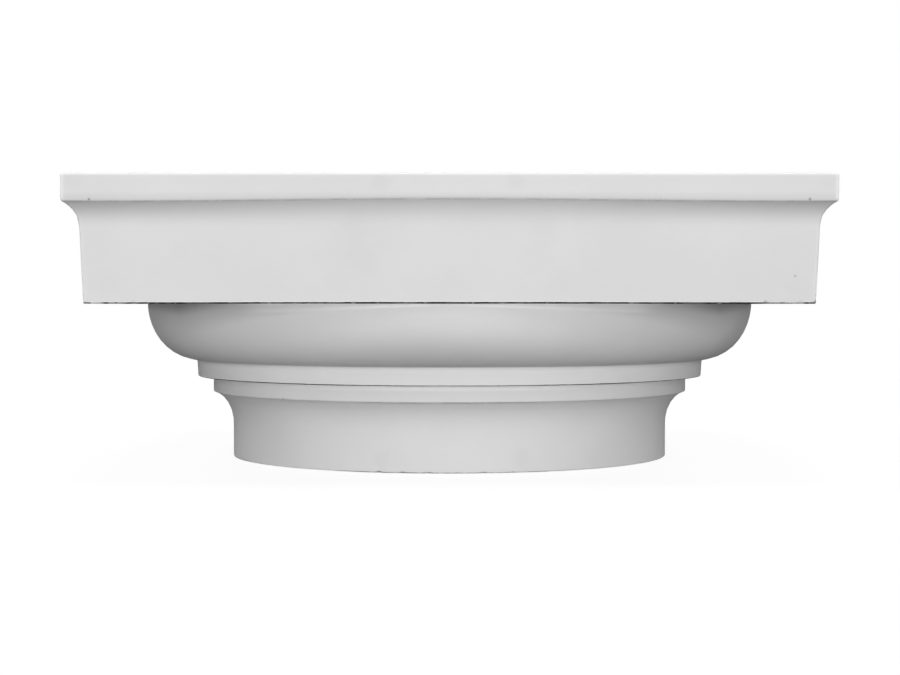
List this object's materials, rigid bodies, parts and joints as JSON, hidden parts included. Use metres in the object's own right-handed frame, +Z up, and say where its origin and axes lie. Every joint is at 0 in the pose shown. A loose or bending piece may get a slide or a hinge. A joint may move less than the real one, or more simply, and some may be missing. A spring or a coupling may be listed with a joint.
{
  "type": "column capital",
  "caption": "Plain Tuscan column capital cast in plaster: square abacus with fillet and cavetto, round ovolo, stepped annulets and a short flared neck.",
  "frame": {"origin": "centre of the neck's flat underside, on the column's axis", "axes": "+Z up along the column's axis, X and Y square to the abacus faces; the pictured face looks along -Y"},
  "size_m": [0.45, 0.45, 0.1815],
  "materials": {
    "plaster": "matte"
  },
  "bodies": {
    "root": {"capital": "plaster"}
  },
  "joints": []
}
